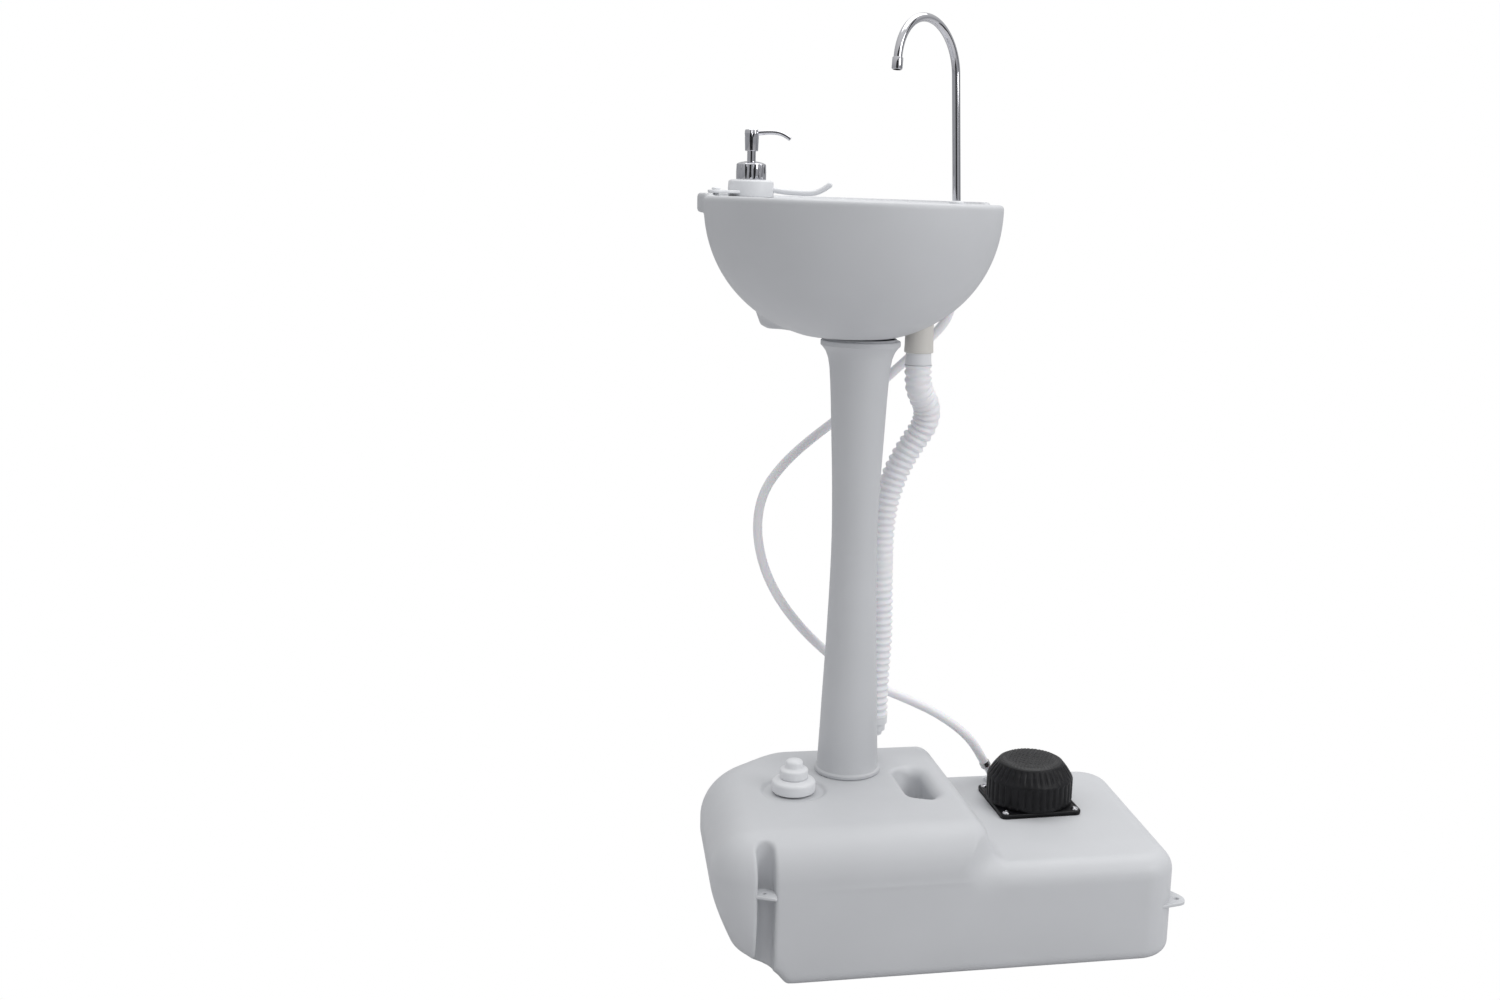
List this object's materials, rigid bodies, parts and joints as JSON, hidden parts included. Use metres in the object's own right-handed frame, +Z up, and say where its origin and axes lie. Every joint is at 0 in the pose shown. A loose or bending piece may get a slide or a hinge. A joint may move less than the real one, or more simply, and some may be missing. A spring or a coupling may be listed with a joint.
{
  "type": "portable handwash sink",
  "caption": "Free-standing portable handwash basin on a hollow column and a low water tank, with a foot pump, gooseneck spout, soap dispenser and drain hose.",
  "frame": {"origin": "point on the tank's flat underside, straight below the column's axis", "axes": "+Z up, +X towards the foot pump, -Y towards the person washing"},
  "size_m": [0.54, 0.389, 1.0418],
  "materials": {
    "grey_polyethylene": "satin blow-moulded polyethylene, light cool grey",
    "white_plastic": "satin injection-moulded plastic, white",
    "ivory_plastic": "satin moulded plastic, ivory grey",
    "clear_plastic": "smooth translucent plastic",
    "black_rubber": "matt black rubber",
    "black_plastic": "matt black moulded plastic",
    "chrome": "polished chrome plate",
    "steel": "plain stainless steel",
    "hose_white": "flexible white vinyl, satin"
  },
  "bodies": {
    "sink": {"basin": "grey_polyethylene", "column": "grey_polyethylene", "drain_collar": "ivory_plastic", "drain_cuff": "white_plastic", "drain_gasket": "black_rubber", "drain_hose": "hose_white", "drain_hose_end": "white_plastic", "drain_strainer": "chrome", "drain_tail": "white_plastic", "faucet_barb": "white_plastic", "faucet_nut": "white_plastic", "faucet_seal": "black_rubber", "faucet_shank": "white_plastic", "faucet_washer": "white_plastic", "inlet_valve_ball": "steel", "lower_hose_clamp": "steel", "outlet_pipe": "white_plastic", "outlet_valve_ball": "steel", "pickup_strainer": "white_plastic", "pickup_tube": "clear_plastic", "pump_cylinder": "white_plastic", "pump_flange": "black_plastic", "pump_gasket": "black_rubber", "pump_outlet_barb": "white_plastic", "pump_outlet_nut": "white_plastic", "pump_rod_guide": "white_plastic", "pump_screws": "chrome", "soap_bottle": "clear_plastic", "soap_collar": "chrome", "soap_dip_tube": "clear_plastic", "soap_pump_barrel": "white_plastic", "soap_valve_ball": "steel", "towel_holder": "white_plastic", "towel_holder_peg": "white_plastic", "upper_hose_clamp": "steel", "water_hose": "hose_white", "water_tank": "grey_polyethylene"},
    "filler_cap": {"filler_cap": "white_plastic", "filler_cap_seal": "black_rubber"},
    "vent_cap": {"vent_cap": "white_plastic"},
    "spout": {"faucet_spout": "chrome", "spout_tip": "chrome"},
    "pump_pedal": {"pump_tread": "black_rubber", "pump_boot": "black_rubber", "pump_piston": "white_plastic", "piston_seal": "black_rubber", "pump_spring": "steel"},
    "soap_plunger": {"soap_stem": "chrome", "soap_piston": "white_plastic", "soap_spring": "steel"},
    "soap_head": {"soap_head": "chrome", "soap_nozzle": "chrome"}
  },
  "joints": [
    {"name": "filler_cap_lift", "type": "slide", "parent": "sink", "child": "filler_cap", "axis": [0, 0, 1], "range_m": [0, 0.06]},
    {"name": "vent_cap_lift", "type": "slide", "parent": "filler_cap", "child": "vent_cap", "axis": [0, 0, 1], "range_m": [0, 0.025]},
    {"name": "spout_swivel", "type": "hinge", "parent": "sink", "child": "spout", "pos_m": [0.124, 0.06, 0.834], "axis": [0, 0, 1], "continuous": true},
    {"name": "pump_press", "type": "slide", "parent": "sink", "child": "pump_pedal", "axis": [0, 0, 1], "range_m": [-0.022, 0], "stiffness_N_per_m": 3000, "springref_m": 0.006, "deforming": ["pump_boot", "pump_spring"]},
    {"name": "soap_press", "type": "slide", "parent": "sink", "child": "soap_plunger", "axis": [0, 0, 1], "range_m": [-0.011, 0], "stiffness_N_per_m": 700, "springref_m": 0.004, "deforming": ["soap_spring"]},
    {"name": "soap_head_turn", "type": "hinge", "parent": "soap_plunger", "child": "soap_head", "pos_m": [-0.117, 0.075, 0.885], "axis": [0, 0, 1], "continuous": true}
  ]
}
